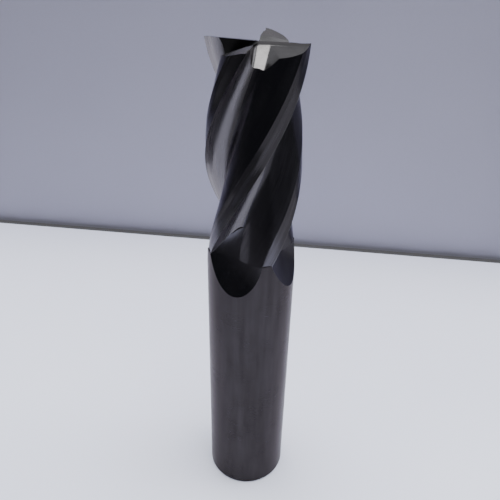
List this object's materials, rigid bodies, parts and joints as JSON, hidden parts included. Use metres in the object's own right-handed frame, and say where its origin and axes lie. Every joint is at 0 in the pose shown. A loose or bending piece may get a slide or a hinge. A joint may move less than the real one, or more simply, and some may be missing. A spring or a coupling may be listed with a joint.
{
  "type": "square end mill",
  "caption": "Solid-carbide square end mill with right-hand helical flutes, centre-cutting end and plain cylindrical shank, dark coating",
  "frame": {"origin": "centre of the flat shank end, the face the tool stands on", "axes": "+Z along the tool's axis from the shank end to the cutting end, +X through the corner of tooth_1"},
  "size_m": [0.012, 0.012, 0.07],
  "materials": {
    "ground_shank": "fine-ground, dark grey hard coating",
    "fluted_carbide": "polished flutes under a dark grey hard coating"
  },
  "bodies": {
    "root": {"shank": "ground_shank", "core": "fluted_carbide", "tooth_1": "fluted_carbide", "tooth_2": "fluted_carbide", "tooth_3": "fluted_carbide", "tooth_4": "fluted_carbide"}
  },
  "joints": []
}
